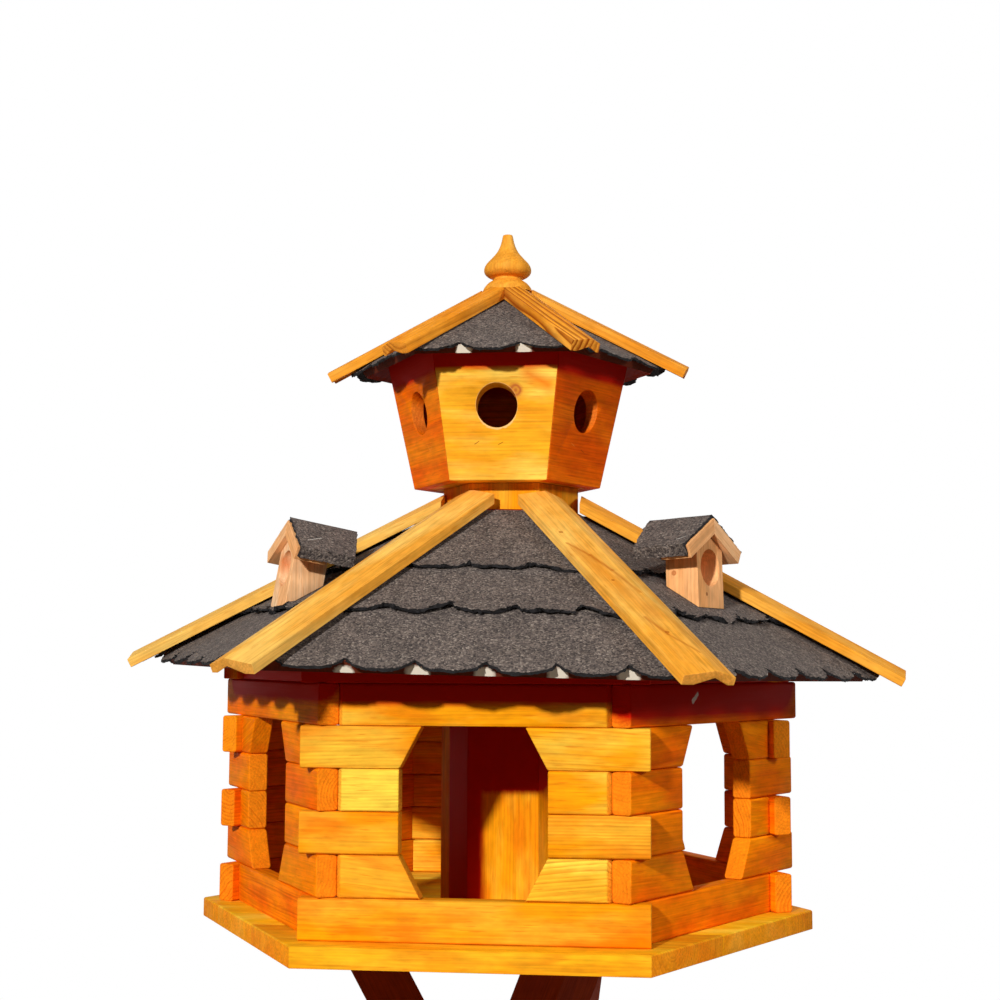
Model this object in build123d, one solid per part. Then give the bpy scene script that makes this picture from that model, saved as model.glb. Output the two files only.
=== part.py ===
from build123d import *
import os
from math import atan, cos, degrees, hypot, pi, radians, sin, tan

# Hexagonal bird feeder on a crossed tripod: a tray with log walls, a hexagonal seed silo,
# a felted roof with three dormers, and a dovecote with a roof and a turned finial of its own.
# All lengths are in millimetres. Z = 0 is the ground, and the front looks along -Y.

# Stand
stand_height = 770
leg_width = 49
leg_slope = 0.54
leg_crossing_drop = 263
leg_turn = 197

# Tray
tray_side = 300
tray_thickness = 18
tray_chamfer = 1.2

# Log walls: six courses of logs and a bevelled wall plate that carries the roof
wall_apothem = 234.2
log_thickness = 19
course_height = 36.25
passing_course_count = 6
plate_height = 45.5
window_half_width = 63.4
window_half_head = 44.1
log_bevel = 1.6

# How far logs run past a corner: front and back logs at both ends, the logs of the two front
# slanting walls at the front corners and at the side corners, and those of the rear slanting
# walls at the side corners. The log above the windows is longer
front_log_pass = 14.5
slant_front_pass = 4
slant_side_pass = 26
rear_side_pass = 19
head_log_extra = 12

# The windows of the two front slanting walls lie further back than the middle
right_window_shift = 11
left_window_shift = 20

# Seed silo, which runs up through the roof as the neck under the dovecote. The silo and the
# roof stand over the origin, and the stand, tray and walls lie a little to the left of it
silo_radius = 68
silo_board = 9
neck_rise = 29.3
base_shift = -7

# Main roof
roof_pitch = 31.1
deck_thickness = 12
felt_thickness = 2.5
felt_head_apothem = 66
felt_overhang = 18.7
eave_tip_apothem = 317.5
middle_tip_apothem = 244
top_tip_apothem = 177.3
scallop_pitch = 57.6
eave_scallop_depth = 23
middle_scallop_depth = 16.5
top_scallop_depth = 14.5
eave_scallop_phase = 6.9
middle_scallop_phase = 28.9
top_scallop_phase = -21.5
scallop_segments = 8
felt_lap = 20
hip_board_overhang = 17
side_hip_overhang = 13.5

# The whole roof sits a little crooked on the walls, tipped down to the right by some degrees
# about a line that runs from front to back at the height of its side tips
roof_tilt = 1.1
roof_tilt_height = 1023

# Dovecote
dovecote_foot_radius = 94
dovecote_lean = 11
dovecote_height = 126.5
dovecote_shift = -4
dovecote_board = 13
dovecote_floor_thickness = 12
entry_hole_diameter = 39.5
entry_hole_height = 70.5

# Dovecote roof
small_deck_thickness = 9
small_tip_apothem = 141
small_felt_overhang = 15.5
small_scallop_pitch = 58
small_scallop_depth = 13
small_scallop_phase = 26.8
small_hip_overhang = 15.3

# Hip boards: planks with a low ridge off their middle and a groove below it. Wide and narrow
# are the widths of the two slopes, and each edge and the groove are measured from the underside.
# The two boards at the sides lie rolled towards the front by the angle given
side_hip_roll = 8
hip_wide = 29
hip_narrow = 19
hip_crest = 13.5
hip_wide_edge = 8.7
hip_narrow_edge = 7.3
hip_groove_depth = 6.4
hip_groove_wide = 18
hip_groove_narrow = 13
small_hip_wide = 18.5
small_hip_narrow = 10
small_hip_crest = 12.5
small_hip_wide_edge = 9.5
small_hip_narrow_edge = 8.5
small_hip_groove_depth = 5
small_hip_groove_wide = 12
small_hip_groove_narrow = 7.5

# Turned finial
finial_foot_radius = 23
finial_foot_depth = 12
finial_flare_radius = 25.6
finial_collar_rise = 9.4
finial_neck_radius = 13.8
finial_neck_rise = 14
finial_knob_radius = 23.8
finial_knob_rise = 22.5
finial_shoulder_radius = 16
finial_shoulder_rise = 10.5
finial_height = 60
finial_tip_radius = 6
finial_flare_swell = 1.6
finial_knob_round = 2.7
finial_spire_hollow = 1.4
finial_segments = 4

# Dormers: small solid gabled blocks with a blind hole, set on the felt of every second face
dormer_width = 48
dormer_depth = 33
dormer_ridge_rise = 82.5
dormer_roof_board = 13
dormer_roof_half_span = 51
dormer_roof_pitch = 29
dormer_overhang = 6
dormer_board_setback = 8
dormer_felt_length = 68
dormer_felt_skew = 14
dormer_felt_setback = 2
dormer_felt_fold = 9
dormer_hole_diameter = 34
dormer_hole_rise = 37
dormer_hole_depth = 22

# Where each dormer stands: its distance from the middle of the roof, how far it is to one side
# of its face, and its lean in degrees
right_dormer_front = 226
right_dormer_shift = 0
right_dormer_lean = 3
back_dormer_front = 232
back_dormer_shift = 0
back_dormer_lean = 6
left_dormer_front = 239
left_dormer_shift = -4
left_dormer_lean = 9

# Clearances
joint_gap = 0.3

# The stand, tray and walls, and then the dovecote, set off from the middle of the roof
base_place = Pos(base_shift, 0, 0)
dovecote_place = Pos(dovecote_shift, 0, 0)
roof_place = Pos(0, 0, roof_tilt_height) * Rot(0, roof_tilt, 0) * Pos(0, 0, -roof_tilt_height)

# Sides and hips are numbered from the front, turning towards +X
side_names = ("front", "front_right", "back_right", "back", "back_left", "front_left")
hip_names = ("front_right", "right", "back_right", "back_left", "left", "front_left")

# Which way each hip board's wide slope lies, over the front face or over the back face behind,
# and how far the board is rolled that way
hip_hands = (-1, -1, 1, -1, 1, 1)
hip_rolls = (0, side_hip_roll, 0, 0, side_hip_roll, 0)

# Sides of the dovecote that have an entry hole
hole_sides = ("front", "front_right", "front_left")

pitch = radians(roof_pitch)
fall = tan(pitch)
hip_fall = fall * cos(pi / 6)
upright = 1 / cos(pitch)
groin_drop = atan(fall / 2 * cos(atan(hip_fall)))
tray_top = stand_height + tray_thickness
wall_top = tray_top + passing_course_count * course_height
plate_top = wall_top + plate_height
deck_peak = plate_top + fall * wall_apothem + deck_thickness * upright + joint_gap
nodes = {}


def solids_of(*pieces):
    """Lists the solids of one or more pieces."""
    return [solid for piece in pieces for solid in piece.solids()]


def add_node(name, *pieces):
    """Files pieces under one node name."""
    nodes[name] = solids_of(*pieces)


def trim(piece, point, normal):
    """Cuts a piece on a plane and keeps the side that the normal points away from."""
    return split(piece, bisect_by=Plane(origin=point, z_dir=normal), keep=Keep.BOTTOM)


def turned(piece, side):
    """Turns a piece made for the front side to another side of the hexagon."""
    return Rot(0, 0, 60 * side) * piece


def hexagon(radius, height, bottom=0):
    """Hexagonal prism with corners on the X axis."""
    outline = RegularPolygon(radius, 6)
    return Pos(0, 0, bottom) * extrude(outline, amount=height)


def profile_along_x(points, length):
    """Prism of a Y-Z outline, centred on X."""
    outline = Plane.YZ * make_face(Polyline(*points, close=True))
    return Pos(-length / 2, 0, 0) * extrude(outline, amount=length)


def profile_along_y(points, start, length):
    """Prism of an X-Z outline that runs from Y = start towards +Y."""
    outline = Plane.XZ * make_face(Polyline(*points, close=True))
    return Pos(0, start, 0) * extrude(outline, amount=-length)


def mitred(piece, gap):
    """Cuts a front piece back to the two vertical planes through its hips."""
    for hand in (-1, 1):
        normal = (hand * cos(pi / 6), sin(pi / 6), 0)
        edge = (-gap * normal[0], -gap * normal[1], 0)
        piece = trim(piece, edge, normal)
    return piece


# Stand: three square legs cross like a tripod, each resting an arris on the side of the next
def make_leg(number):
    """One leg, cut level under the tray and on the ground."""
    rake = hypot(1, leg_slope)
    bearing = leg_width / 2 + leg_width * rake * tan(pi / 6) / 2
    offset = bearing + joint_gap
    crossing = stand_height - leg_crossing_drop
    length = 2 * stand_height * rake
    timber = Box(leg_width, leg_width, length)
    leg = Pos(0, -offset, crossing) * Rot(0, degrees(atan(leg_slope)), 0) * timber
    leg = trim(leg, (0, 0, stand_height), (0, 0, 1))
    leg = trim(leg, (0, 0, 0), (0, 0, -1))
    return Rot(0, 0, leg_turn + 120 * number) * leg


for number, leg_name in enumerate(("left_leg", "front_leg", "back_leg")):
    add_node(leg_name, base_place * make_leg(number))

# Tray: a hexagonal floor that reaches past the walls as a perch
tray = hexagon(tray_side, tray_thickness, stand_height)
add_node("tray", base_place * chamfer(tray.edges().group_by(Axis.Z)[-1], tray_chamfer))


# Log walls: in each course every second side runs past the corner, and its neighbours butt
# against its inner face, as in a log cabin
corner_half_length = wall_apothem * tan(pi / 6)


def span(points, start, end):
    """Prism of a Y-Z outline from one X to another."""
    return Pos((start + end) / 2, 0, 0) * profile_along_x(points, end - start)


def log_bar(bottom, top, start, end):
    """One log of a front wall, with eased edges."""
    outer = -wall_apothem
    inner = outer + log_thickness
    bevel = log_bevel
    points = (
        (outer + bevel, bottom),
        (inner - bevel, bottom),
        (inner, bottom + bevel),
        (inner, top - bevel),
        (inner - bevel, top),
        (outer + bevel, top),
        (outer, top - bevel),
        (outer, bottom + bevel),
    )
    return span(points, start, end)


def plate_bar(bottom, start, end):
    """The wall plate, left high on top until it is cut to the roof."""
    outer = -wall_apothem
    inner = outer + log_thickness
    rough_top = plate_top + 2 * log_thickness
    points = ((outer, bottom), (inner, bottom), (inner, rough_top), (outer, rough_top))
    return span(points, start, end)


def under_roof(plate, side):
    """Bevels a wall plate on top to the deck over its own side and the two beside it."""
    plate = roof_place.inverse() * plate
    for neighbour in (side - 1, side, side + 1):
        bearing = radians(60 * neighbour - 90)
        normal = (cos(bearing) * sin(pitch), sin(bearing) * sin(pitch), cos(pitch))
        point = (wall_apothem * cos(bearing), wall_apothem * sin(bearing), plate_top)
        plate = trim(plate, point, normal)
    return roof_place * plate


def butt_to_neighbours(log):
    """Cuts both ends of a log to the inner faces of the walls beside it."""
    inner_face = wall_apothem - log_thickness - joint_gap
    for hand in (-1, 1):
        normal = (hand * cos(pi / 6), -sin(pi / 6), 0)
        point = (inner_face * normal[0], inner_face * normal[1], 0)
        log = trim(log, point, normal)
    return log


def window_halves(log, low_half, high_half, bottom, top):
    """Splits a log at the window, whose edge slants from low_half to high_half."""
    reach = tray_side
    y_start = -wall_apothem - log_thickness
    opening = (
        (-low_half, bottom - joint_gap),
        (low_half, bottom - joint_gap),
        (high_half, top + joint_gap),
        (-high_half, top + joint_gap),
    )
    return log - profile_along_y(opening, y_start, reach)


# Per side: how far its passing logs run on at their two ends, and where its window stands
log_passes = (
    (front_log_pass, front_log_pass),
    (slant_front_pass, slant_side_pass),
    (rear_side_pass, front_log_pass),
    (front_log_pass, front_log_pass),
    (front_log_pass, rear_side_pass),
    (slant_side_pass, slant_front_pass),
)
window_shifts = (0, right_window_shift, 0, 0, 0, -left_window_shift)


def make_wall(side):
    """The logs of one wall, from the sill rail to the wall plate."""
    pieces = []
    wide = window_half_width
    narrow = window_half_head
    window_edges = {1: (narrow, wide), 2: (wide, wide), 3: (wide, wide), 4: (wide, narrow)}
    for course in range(passing_course_count + 1):
        bottom = tray_top + course * course_height
        top = bottom + course_height - joint_gap
        passes = (course + side) % 2 == 0
        past_start, past_end = log_passes[side] if passes else (0, 0)
        if passes and course == passing_course_count - 1:
            past_start += head_log_extra if past_start > front_log_pass else 0
            past_end += head_log_extra if past_end > front_log_pass else 0
        start = -corner_half_length - past_start
        end = corner_half_length + past_end
        if course == passing_course_count:
            log = plate_bar(bottom, start, end)
        else:
            log = log_bar(bottom, top, start, end)
        if not passes:
            log = butt_to_neighbours(log)
        if course in window_edges:
            log = Pos(-window_shifts[side], 0, 0) * log
            log = window_halves(log, *window_edges[course], bottom, top)
            log = Pos(window_shifts[side], 0, 0) * log
        log = base_place * turned(log, side)
        if course == passing_course_count:
            log = under_roof(log, side)
        pieces.append(log)
    return pieces


for side, side_name in enumerate(side_names):
    add_node(side_name + "_wall", *make_wall(side))


# Seed silo: six upright boards with mitred edges, whose top is the neck under the dovecote
silo_top = deck_peak - fall * felt_head_apothem + neck_rise


def make_silo():
    """Six boards, which stop a hair short of each other at the mitres."""
    apothem = silo_radius * cos(pi / 6)
    silo_height = silo_top - tray_top
    board = Pos(0, -apothem + silo_board / 2, tray_top + silo_height / 2)
    board = board * Box(silo_radius, silo_board, silo_height)
    board = mitred(board, joint_gap / 2)
    return [turned(board, side) for side in range(6)]


add_node("silo", *make_silo())


# Roofs: both have the same pitch, so sheets and hip boards share their sections
def sloped_sheet(peak, thickness, inner, outer):
    """A panel on one face, from its inner to its outer apothem, with square-cut edges."""
    depth_out = thickness * sin(pitch)
    depth_down = thickness * cos(pitch)
    points = (
        (-inner, peak - fall * inner),
        (-outer, peak - fall * outer),
        (-outer + depth_out, peak - fall * outer - depth_down),
        (-inner + depth_out, peak - fall * inner - depth_down),
    )
    return mitred(profile_along_x(points, 2 * outer), joint_gap / 2)


def scalloped_sheet(peak, head, tip, head_lift, tilt, width, edge):
    """A course of felt: a flat sheet whose lower edge is a row of round scallops.

    head and tip are distances down the slope; the sheet lies head_lift above the deck at its
    head and rises by tilt along the slope, so that it rides over the course below."""
    scallop_width, depth, phase = edge
    count = int(width / scallop_width) + 2
    first = phase - scallop_width * (count // 2)
    cusps = [first + scallop_width * index for index in range(count + 1)]
    root = -(tip - depth)
    outline = [(cusps[-1], -head), (cusps[0], -head), (cusps[0], root)]
    for cusp in cusps[:-1]:
        arc = ThreePointArc((cusp, root), (cusp + scallop_width / 2, -tip), (cusp + scallop_width, root))
        cuts = [arc @ (step / scallop_segments) for step in range(1, scallop_segments + 1)]
        outline += [(point.X, point.Y) for point in cuts]
    sheet = extrude(make_face(Polyline(*outline, close=True)), amount=felt_thickness, dir=(0, 0, 1))
    sheet = Pos(0, -head, head_lift) * Rot(-degrees(atan(tilt)), 0, 0) * Pos(0, head, 0) * sheet
    sheet = Pos(0, 0, peak) * Rot(roof_pitch, 0, 0) * sheet
    return mitred(sheet, joint_gap)


def felt_courses():
    """Head, tip, lift and tilt of each course, from the eave up."""
    apothems = (eave_tip_apothem, middle_tip_apothem, top_tip_apothem)
    tips = [apothem * upright for apothem in apothems]
    heads = [tips[1] - middle_scallop_depth - felt_lap, tips[2] - top_scallop_depth - felt_lap]
    heads.append(felt_head_apothem * upright)
    rows = []
    below = None
    for head, tip in zip(heads, tips):
        lift = 0.0
        tilt = 0.0
        if below:
            under_head, _, under_lift, under_tilt = below
            for place in (under_head, tip):
                under_top = under_lift + under_tilt * (place - under_head) + felt_thickness
                tilt = max(tilt, under_top / (place - head))
        below = (head, tip, lift + joint_gap / 2, tilt)
        rows.append(below)
    return rows


def top_of_course(row, distance):
    """Height of a course's top above the deck at a distance down the slope."""
    head, _, lift, tilt = row
    return lift + tilt * (distance - head) + felt_thickness


courses = felt_courses()
felt_stack = max(top_of_course(row, row[1]) for row in courses)


def hip_board(felt_peak, section, head_radius, tip_radius, hip):
    """One hip board: a plank with a ridge on top and a groove below, wider on one side.

    The corners of its groove bear on the felt to both sides of the hip. Its head is cut plumb,
    and mitred where it would meet the boards beside it."""
    wide, narrow, crest, wide_edge, narrow_edge, groove_depth, groove_wide, groove_narrow = section
    slope = atan(hip_fall)
    hand = hip_hands[hip]
    roll = radians(hip_rolls[hip])
    wide_drop = tan(groin_drop - roll)
    narrow_drop = tan(groin_drop + roll)
    hip_line = (groove_wide * wide_drop - groove_narrow * narrow_drop) / (wide_drop + narrow_drop)
    bearing = (groove_wide - hip_line) * wide_drop - crest
    rough = (
        (0, 0),
        (wide, wide_edge - crest),
        (wide, -crest),
        (groove_wide, -crest),
        (0, groove_depth - crest),
        (-groove_narrow, -crest),
        (-narrow, -crest),
        (-narrow, narrow_edge - crest),
    )
    points = []
    for across, up in rough:
        from_hip = (across - hip_line, up - bearing)
        rolled_across = from_hip[0] * cos(roll) + from_hip[1] * sin(roll)
        rolled_up = from_hip[1] * cos(roll) - from_hip[0] * sin(roll) + joint_gap
        points.append((hand * rolled_across, rolled_up))
    rough_head = head_radius - crest
    start = Vector(rough_head, 0, felt_peak - hip_fall * rough_head)
    run = Vector(cos(slope), 0, -sin(slope))
    outline = Plane(origin=start, x_dir=(0, 1, 0), z_dir=run) * make_face(Polyline(*points, close=True))
    board = extrude(outline, amount=(tip_radius - rough_head) / cos(slope))
    board = trim(board, (head_radius, 0, 0), (-1, 0, 0))
    for side_of_board in (-1, 1):
        normal = (-sin(pi / 6), side_of_board * cos(pi / 6), 0)
        edge = (-joint_gap / 2 * normal[0], -joint_gap / 2 * normal[1], 0)
        board = trim(board, edge, normal)
    return Rot(0, 0, -60 + 60 * hip) * board


# Main roof deck, cut out round the silo, with the felt and the hip boards on it
silo_cut = hexagon(silo_radius + joint_gap / cos(pi / 6), silo_top - tray_top, tray_top)
deck_inner_apothem = silo_radius * cos(pi / 6) - deck_thickness
deck_apothem = eave_tip_apothem - felt_overhang
deck_panel = sloped_sheet(deck_peak, deck_thickness, deck_inner_apothem, deck_apothem)
deck_panels = [roof_place * turned(deck_panel, side) for side in range(6)]
add_node("roof_deck", *[panel - silo_cut for panel in deck_panels])

face_width = 2 * eave_tip_apothem * tan(pi / 6)
scallops = (
    (scallop_pitch, eave_scallop_depth, eave_scallop_phase),
    (scallop_pitch, middle_scallop_depth, middle_scallop_phase),
    (scallop_pitch, top_scallop_depth, top_scallop_phase),
)
felt_sheets = [
    scalloped_sheet(deck_peak, *row, face_width, edge) for row, edge in zip(courses, scallops)
]
for side, side_name in enumerate(side_names):
    add_node(side_name + "_felt", *[roof_place * turned(sheet, side) for sheet in felt_sheets])

hip_section = (
    hip_wide,
    hip_narrow,
    hip_crest,
    hip_wide_edge,
    hip_narrow_edge,
    hip_groove_depth,
    hip_groove_wide,
    hip_groove_narrow,
)
felt_hip_peak = deck_peak + felt_stack * upright
hip_head_radius = silo_radius + joint_gap
for hip, hip_name in enumerate(hip_names):
    overhang = side_hip_overhang if hip_rolls[hip] else hip_board_overhang
    tip_radius = eave_tip_apothem / cos(pi / 6) + overhang
    board = hip_board(felt_hip_peak, hip_section, hip_head_radius, tip_radius, hip)
    add_node("hip_board_" + hip_name, roof_place * board - silo_cut)


# Dormers: a block cut to the slope of the felt, two roof boards and a folded sheet of felt
def gable_sheet(peak, thickness, half_span, start, length):
    """Two slopes of one thickness that meet over X = 0, as an X-Z outline run along Y."""
    slope = radians(dormer_roof_pitch)
    eave_x = half_span
    eave_z = peak - half_span * tan(slope)
    points = (
        (0, peak),
        (eave_x, eave_z),
        (eave_x - thickness * sin(slope), eave_z - thickness * cos(slope)),
        (0, peak - thickness / cos(slope)),
        (-eave_x + thickness * sin(slope), eave_z - thickness * cos(slope)),
        (-eave_x, eave_z),
    )
    return profile_along_y(points, start, length)


def folded_felt(board_peak, start):
    """The sheet of felt over the two roof boards, folded down over their eave edges."""
    slope = radians(dormer_roof_pitch)
    rake = dormer_roof_half_span / cos(slope)
    inner = joint_gap
    outer = joint_gap + felt_thickness
    places = ((rake + outer, outer), (rake + outer, -dormer_felt_fold))
    places += ((rake + inner, -dormer_felt_fold), (rake + inner, inner))
    right = [
        (down * cos(slope) + off * sin(slope), board_peak - down * sin(slope) + off * cos(slope))
        for down, off in places
    ]
    left = [(-across, height) for across, height in reversed(right)]
    ridge = (0, board_peak + outer / cos(slope))
    under_ridge = (0, board_peak + inner / cos(slope))
    outline = [ridge, *right, under_ridge, *left]
    return profile_along_y(outline, start, dormer_felt_length)


def make_dormer(name, side, dormer_front, shift, lean):
    """One dormer, which leans back a little and may stand beside the middle of its side."""
    slope = radians(dormer_roof_pitch)
    seat_row = courses[1]
    seat_distance = dormer_front * upright
    seat_top = top_of_course(seat_row, seat_distance) + joint_gap
    seat = deck_peak - fall * dormer_front + seat_top * upright
    ridge = seat + dormer_ridge_rise
    under_ridge = ridge - dormer_roof_board / cos(slope) - joint_gap
    half = dormer_width / 2
    shoulder = under_ridge - half * tan(slope)
    foot = seat - dormer_depth
    outline = ((-half, foot), (half, foot), (half, shoulder), (0, under_ridge), (-half, shoulder))
    block = profile_along_y(outline, -dormer_front, dormer_depth)
    hole = Cylinder(dormer_hole_diameter / 2, 2 * dormer_hole_depth, rotation=(90, 0, 0))
    block -= Pos(0, -dormer_front, seat + dormer_hole_rise) * hole
    boards = gable_sheet(
        ridge,
        dormer_roof_board,
        dormer_roof_half_span,
        -dormer_front - dormer_overhang,
        dormer_overhang + dormer_depth - dormer_board_setback,
    )
    boards = boards - Box(joint_gap, 4 * dormer_front, 4 * ridge)
    felt_start = -dormer_front - dormer_overhang + dormer_felt_setback
    felt = folded_felt(ridge, felt_start)
    skew = dormer_felt_skew / dormer_roof_half_span
    for hand in (-1, 1):
        rear = (0, felt_start + dormer_felt_length, 0)
        felt = trim(felt, rear, (hand * skew, 1, 0))
    tip_back = Pos(shift, -dormer_front, seat) * Rot(-lean, 0, 0) * Pos(0, dormer_front, -seat)
    seat_pitch = pitch - atan(seat_row[3])
    seat_normal = (0, sin(seat_pitch), -cos(seat_pitch))
    block = trim(tip_back * block, (0, -dormer_front, seat), seat_normal)
    add_node(name + "_dormer_body", roof_place * turned(block, side))
    add_node(name + "_dormer_roof", roof_place * turned(tip_back * boards, side))
    add_node(name + "_dormer_felt", roof_place * turned(tip_back * felt, side))


make_dormer("right", 1, right_dormer_front, right_dormer_shift, right_dormer_lean)
make_dormer("back", 3, back_dormer_front, back_dormer_shift, back_dormer_lean)
make_dormer("left", 5, left_dormer_front, left_dormer_shift, left_dormer_lean)


# Dovecote: six boards that lean out, mitred at the corners, round a floor that rests on the silo
dovecote_bottom = silo_top + joint_gap
lean_out = tan(radians(dovecote_lean))
foot_apothem = dovecote_foot_radius * cos(pi / 6)
head_apothem = foot_apothem + lean_out * dovecote_height
board_run = dovecote_board / cos(radians(dovecote_lean))
small_under_peak = dovecote_bottom + dovecote_height + fall * head_apothem + joint_gap


def make_dovecote_wall(has_hole):
    """The front board, bevelled on top to the little roof, with or without its entry hole."""
    inner_head = head_apothem - board_run
    rise = (small_under_peak - joint_gap - fall * inner_head) - dovecote_bottom
    inner_top_apothem = foot_apothem - board_run + lean_out * rise
    points = (
        (-foot_apothem, dovecote_bottom),
        (-foot_apothem + board_run, dovecote_bottom),
        (-inner_top_apothem, dovecote_bottom + rise),
        (-head_apothem, dovecote_bottom + dovecote_height),
    )
    wall = mitred(profile_along_x(points, 2 * head_apothem), joint_gap / 2)
    eave_line = (0, -head_apothem, dovecote_bottom + dovecote_height)
    wall = trim(wall, eave_line, (0, -sin(pitch), cos(pitch)))
    if not has_hole:
        return wall
    hole = Cylinder(entry_hole_diameter / 2, 4 * dovecote_board)
    hole_apothem = foot_apothem + lean_out * entry_hole_height
    place = Pos(0, -hole_apothem, dovecote_bottom + entry_hole_height)
    return wall - place * Rot(90 - dovecote_lean, 0, 0) * hole


for side, side_name in enumerate(side_names):
    wall = make_dovecote_wall(side_name in hole_sides)
    add_node("dovecote_" + side_name + "_wall", dovecote_place * turned(wall, side))

floor_apothem = foot_apothem - board_run - joint_gap
floor = hexagon(floor_apothem / cos(pi / 6), dovecote_floor_thickness, dovecote_bottom)
add_node("dovecote_floor", dovecote_place * floor)

# Dovecote roof: the finial plugs the hexagonal hole at its top
small_deck_peak = small_under_peak + small_deck_thickness * upright
plug_apothem = finial_foot_radius + joint_gap
small_deck_apothem = small_tip_apothem - small_felt_overhang
small_panel = sloped_sheet(small_deck_peak, small_deck_thickness, plug_apothem, small_deck_apothem)
plug_cut = hexagon(plug_apothem / cos(pi / 6), 4 * small_deck_apothem, dovecote_bottom)
small_deck = [turned(small_panel, side) - plug_cut for side in range(6)]
add_node("small_roof_deck", *[dovecote_place * panel for panel in small_deck])

small_felt_head = plug_apothem * upright
small_width = 2 * small_tip_apothem * tan(pi / 6)
small_edge = (small_scallop_pitch, small_scallop_depth, small_scallop_phase)
small_row = (small_felt_head, small_tip_apothem * upright, joint_gap / 2, 0)
small_sheet = scalloped_sheet(small_deck_peak, *small_row, small_width, small_edge)
add_node("small_roof_felt", *[dovecote_place * turned(small_sheet, side) for side in range(6)])

small_section = (
    small_hip_wide,
    small_hip_narrow,
    small_hip_crest,
    small_hip_wide_edge,
    small_hip_narrow_edge,
    small_hip_groove_depth,
    small_hip_groove_wide,
    small_hip_groove_narrow,
)
small_hip_peak = small_deck_peak + (felt_thickness + joint_gap / 2) * upright
small_hip_head_radius = finial_flare_radius + joint_gap
small_hip_tip_radius = small_tip_apothem / cos(pi / 6) + small_hip_overhang
small_boards = [
    hip_board(small_hip_peak, small_section, small_hip_head_radius, small_hip_tip_radius, hip)
    for hip in range(6)
]
add_node("small_hip_boards", *[dovecote_place * board for board in small_boards])


# Turned finial: a plug, a flared collar, a waist and an onion-shaped knob
def make_finial():
    """One turning about Z, whose curves are run as short straight cuts."""
    collar = small_hip_peak - hip_fall * finial_flare_radius + finial_collar_rise
    foot = small_deck_peak - fall * plug_apothem - finial_foot_depth
    waist = collar + finial_neck_rise
    belly = collar + finial_knob_rise
    top = collar + finial_height
    flare_middle = (finial_flare_radius + finial_neck_radius) / 2 + finial_flare_swell
    flare = ThreePointArc(
        (finial_flare_radius, collar),
        (flare_middle, (collar + waist) / 2),
        (finial_neck_radius, waist),
    )
    lower_knob = ThreePointArc(
        (finial_neck_radius, waist),
        (finial_knob_radius - finial_knob_round, (waist + belly) / 2),
        (finial_knob_radius, belly),
    )
    shoulder = belly + finial_shoulder_rise
    upper_knob = ThreePointArc(
        (finial_knob_radius, belly),
        (finial_knob_radius - finial_knob_round, (belly + shoulder) / 2),
        (finial_shoulder_radius, shoulder),
    )
    spire = ThreePointArc(
        (finial_shoulder_radius, shoulder),
        (
            (finial_shoulder_radius + finial_tip_radius) / 2 - finial_spire_hollow,
            (shoulder + top) / 2,
        ),
        (finial_tip_radius, top),
    )
    outline = [(0, foot), (finial_foot_radius, foot), (finial_foot_radius, collar)]
    outline.append((finial_flare_radius, collar))
    for curve in (flare, lower_knob, upper_knob, spire):
        cuts = [curve @ (step / finial_segments) for step in range(1, finial_segments + 1)]
        outline += [(point.X, point.Y) for point in cuts]
    outline.append((0, top))
    return revolve(Plane.XZ * make_face(Polyline(*outline, close=True)), Axis.Z)


add_node("finial", dovecote_place * make_finial())

os.makedirs("parts", exist_ok=True)
for name, solids in nodes.items():
    export_step(Compound(children=solids), f"parts/{name}.step")
print(len(nodes), "nodes,", sum(len(solids) for solids in nodes.values()), "solids")
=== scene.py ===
import random
from math import cos, pi, radians, sin, tan

import bmesh
import bpy
from mathutils import Matrix, Vector, kdtree, noise


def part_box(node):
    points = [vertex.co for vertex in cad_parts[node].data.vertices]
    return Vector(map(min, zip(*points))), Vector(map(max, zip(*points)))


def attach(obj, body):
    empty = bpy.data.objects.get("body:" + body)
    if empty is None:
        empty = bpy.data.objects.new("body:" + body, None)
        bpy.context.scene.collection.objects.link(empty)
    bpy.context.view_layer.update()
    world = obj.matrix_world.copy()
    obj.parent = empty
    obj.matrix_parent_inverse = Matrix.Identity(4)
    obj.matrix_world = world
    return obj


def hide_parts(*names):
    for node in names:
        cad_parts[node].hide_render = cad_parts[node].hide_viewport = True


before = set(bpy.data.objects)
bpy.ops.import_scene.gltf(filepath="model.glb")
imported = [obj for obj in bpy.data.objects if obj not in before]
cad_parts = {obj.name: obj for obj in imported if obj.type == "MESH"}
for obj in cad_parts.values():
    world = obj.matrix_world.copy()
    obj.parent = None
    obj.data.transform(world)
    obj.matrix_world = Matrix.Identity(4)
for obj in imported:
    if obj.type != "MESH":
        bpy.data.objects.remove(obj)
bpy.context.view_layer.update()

# Studio: a pale floor under soft light. The main lamp stands at the front left, about as low as the
# sun in the afternoon. Weaker ones fill the right and light the back, and the surroundings light
# the shade.
def linear(code):
    """Turns an sRGB hex colour into the linear RGBA that the shaders take."""
    parts = [int(code[place:place + 2], 16) / 255 for place in (1, 3, 5)]
    return [part / 12.92 if part < 0.04045 else ((part + 0.055) / 1.055) ** 2.4 for part in parts] + [1]


def add(tree, kind, *feeds, out=0, **settings):
    """Adds a node and returns one of its outputs.

    The settings are the node's own fields. The feeds go to its inputs in order, or one dictionary
    names the inputs. Each feed is a value, an sRGB code or the output of another node."""
    made = tree.nodes.new("ShaderNode" + kind)
    for field, value in settings.items():
        setattr(made, field, value)
    inputs = feeds[0] if feeds and isinstance(feeds[0], dict) else dict(enumerate(feeds))
    for socket, value in inputs.items():
        if isinstance(value, bpy.types.NodeSocket):
            tree.links.new(value, made.inputs[socket])
        else:
            made.inputs[socket].default_value = linear(value) if isinstance(value, str) else value
    return made.outputs[out] if made.outputs else None


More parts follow.
